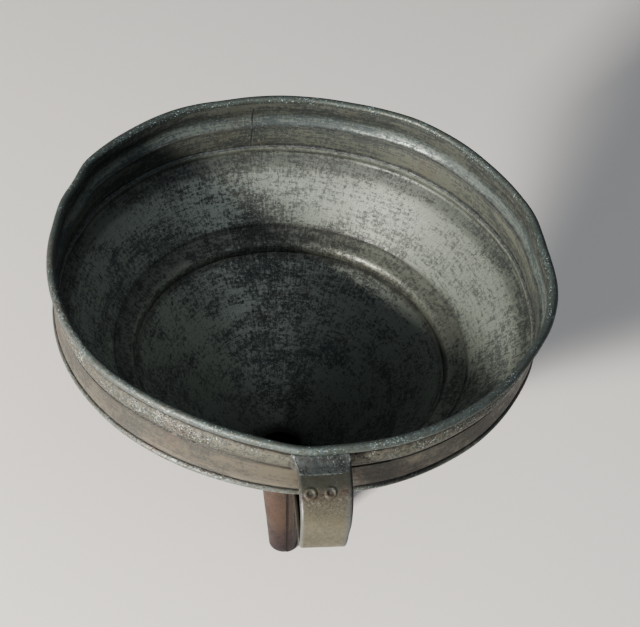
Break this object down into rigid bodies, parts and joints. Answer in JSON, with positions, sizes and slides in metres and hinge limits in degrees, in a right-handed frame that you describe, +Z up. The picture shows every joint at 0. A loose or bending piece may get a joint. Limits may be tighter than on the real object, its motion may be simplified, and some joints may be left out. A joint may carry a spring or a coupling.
{
  "type": "wide tin funnel",
  "caption": "Wide tinned sheet steel funnel with a wired rim, a short upright band, a beaded cone, a narrow tapered spout and a bent strap handle",
  "frame": {"origin": "on the funnel's axis at its throat, where the cone meets the spout", "axes": "+Z up along the funnel's axis towards its mouth, handle towards -Y, +X to the right as seen from the handle"},
  "size_m": [0.2088, 0.2303, 0.1918],
  "materials": {
    "tin_band": "old tinned sheet steel, gone dull warm grey with blue-grey oxide and worn bright specks",
    "tin_cone": "old tinned sheet steel, pale greenish grey with dark pitting and streaks",
    "tin_spout": "old tinned sheet steel, brownish grey, darker towards the outlet",
    "tin_strap": "old tinned sheet steel, smooth olive grey with bright worn edges",
    "solder": "soft solder, dark blue-grey with a lumpy matt skin",
    "iron_wire": "iron wire, dark brown oxide"
  },
  "bodies": {
    "root": {"rim_wire": "iron_wire", "band": "tin_band", "band_seam_solder": "solder", "upper_cone": "tin_cone", "lower_cone": "tin_cone", "cone_seam_solder": "solder", "inner_seam_solder": "solder", "outer_seam_solder": "solder", "spout": "tin_spout", "spout_seam_solder": "solder", "throat_solder": "solder", "handle": "tin_strap", "handle_top_solder": "solder", "handle_foot_solder": "solder"}
  },
  "joints": []
}
